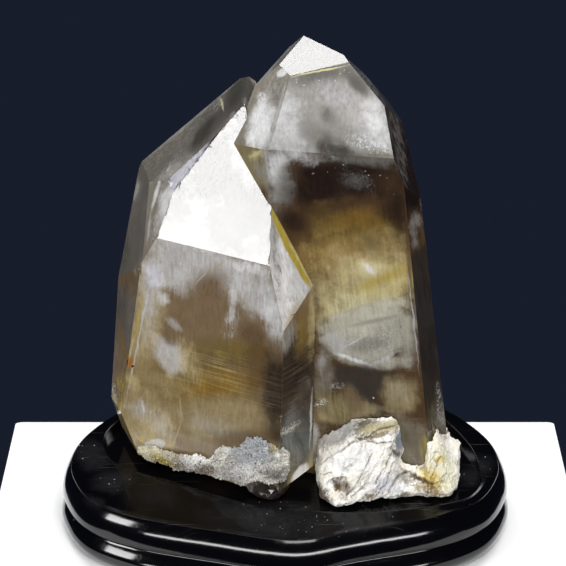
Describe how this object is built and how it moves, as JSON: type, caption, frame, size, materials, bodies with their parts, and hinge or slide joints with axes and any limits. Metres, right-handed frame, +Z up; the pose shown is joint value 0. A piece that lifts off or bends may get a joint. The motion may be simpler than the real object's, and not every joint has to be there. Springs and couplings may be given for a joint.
{
  "type": "lightning quartz specimen on a stand",
  "caption": "Smoky quartz crystals grown together, with white host rock at the foot, resting in a black lacquered wooden stand.",
  "frame": {"origin": "middle of the stand's underside", "axes": "+Z up along the crystals, -Y towards the side with the large bright face, +X to the taller crystal"},
  "size_m": [0.1616, 0.1052, 0.1782],
  "materials": {
    "lacquered_wood": "carved hardwood in black gloss lacquer",
    "smoky_quartz": "clear to milky quartz with smoky brown bands and golden iron stains, natural growth faces",
    "host_rock": "cream white cleaved feldspar with dark veins",
    "druse": "sparkling grey white crust of fine quartz grains"
  },
  "bodies": {
    "root": {"stand": "lacquered_wood", "quartz_crystals": "smoky_quartz", "feldspar_matrix": "host_rock", "druse_crust": "druse"}
  },
  "joints": []
}
